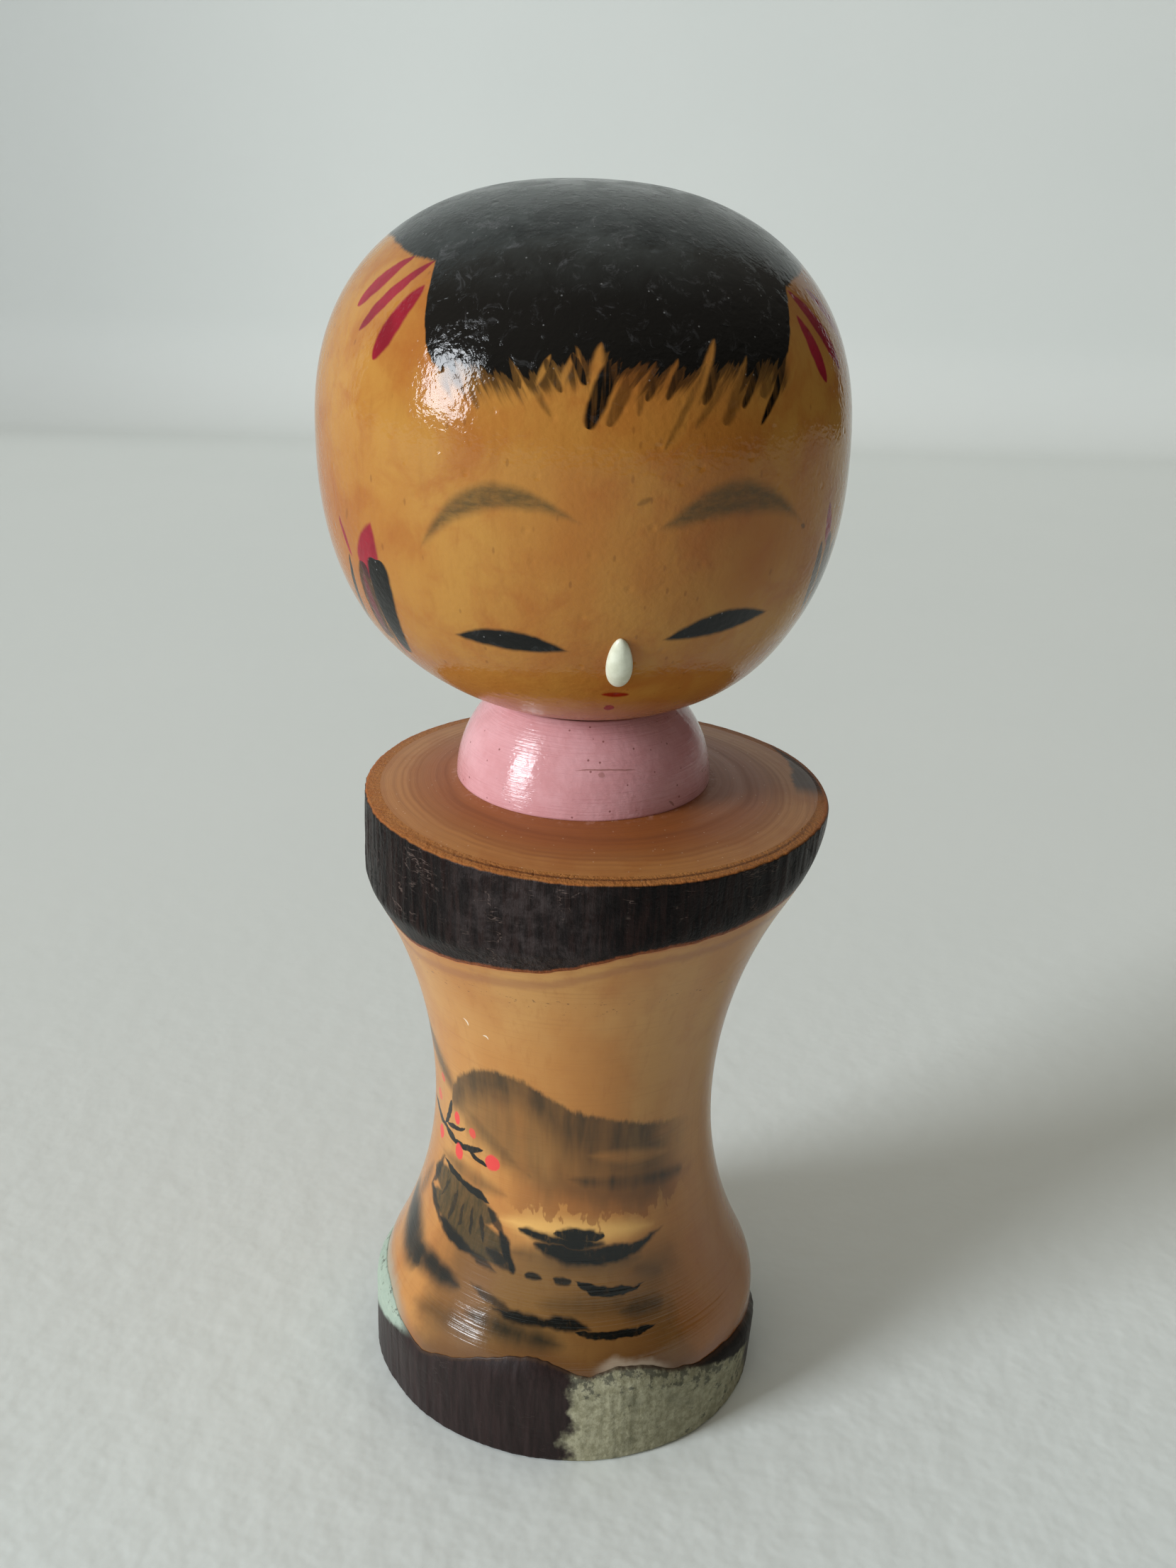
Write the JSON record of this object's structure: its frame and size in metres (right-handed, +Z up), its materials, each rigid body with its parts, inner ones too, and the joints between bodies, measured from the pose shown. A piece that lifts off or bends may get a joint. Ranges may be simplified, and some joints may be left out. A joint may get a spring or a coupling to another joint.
{
  "type": "turned wooden doll",
  "caption": "Turned wooden doll with a bark-edged hourglass branch body, a painted neck collar and a round painted head that turns on a hidden peg.",
  "frame": {"origin": "where the turning axis meets the plane that the foot stands on", "axes": "+Z up along the turning axis, -Y the way the doll faces, +X to the right of a viewer in front"},
  "size_m": [0.0478, 0.0478, 0.1224],
  "materials": {
    "branch_wood": "varnished, with a painted landscape",
    "shoulder_bark": "varnished bark",
    "foot_bark": "varnished bark with grey-green lichen",
    "collar_paint": "gloss pink paint",
    "peg_wood": "bare wood",
    "head_lacquer": "gloss lacquer over painted hair and face",
    "nose_paint": "satin thick white paint"
  },
  "bodies": {
    "doll_body": {"body": "branch_wood", "shoulder_bark": "shoulder_bark", "foot_bark": "foot_bark", "neck_collar": "collar_paint", "neck_peg": "peg_wood"},
    "doll_head": {"head": "head_lacquer", "nose": "nose_paint"}
  },
  "joints": [
    {"name": "head_turn", "type": "hinge", "parent": "doll_body", "child": "doll_head", "pos_m": [0, 0, 0.0754], "axis": [0, 0, 1], "continuous": true}
  ]
}
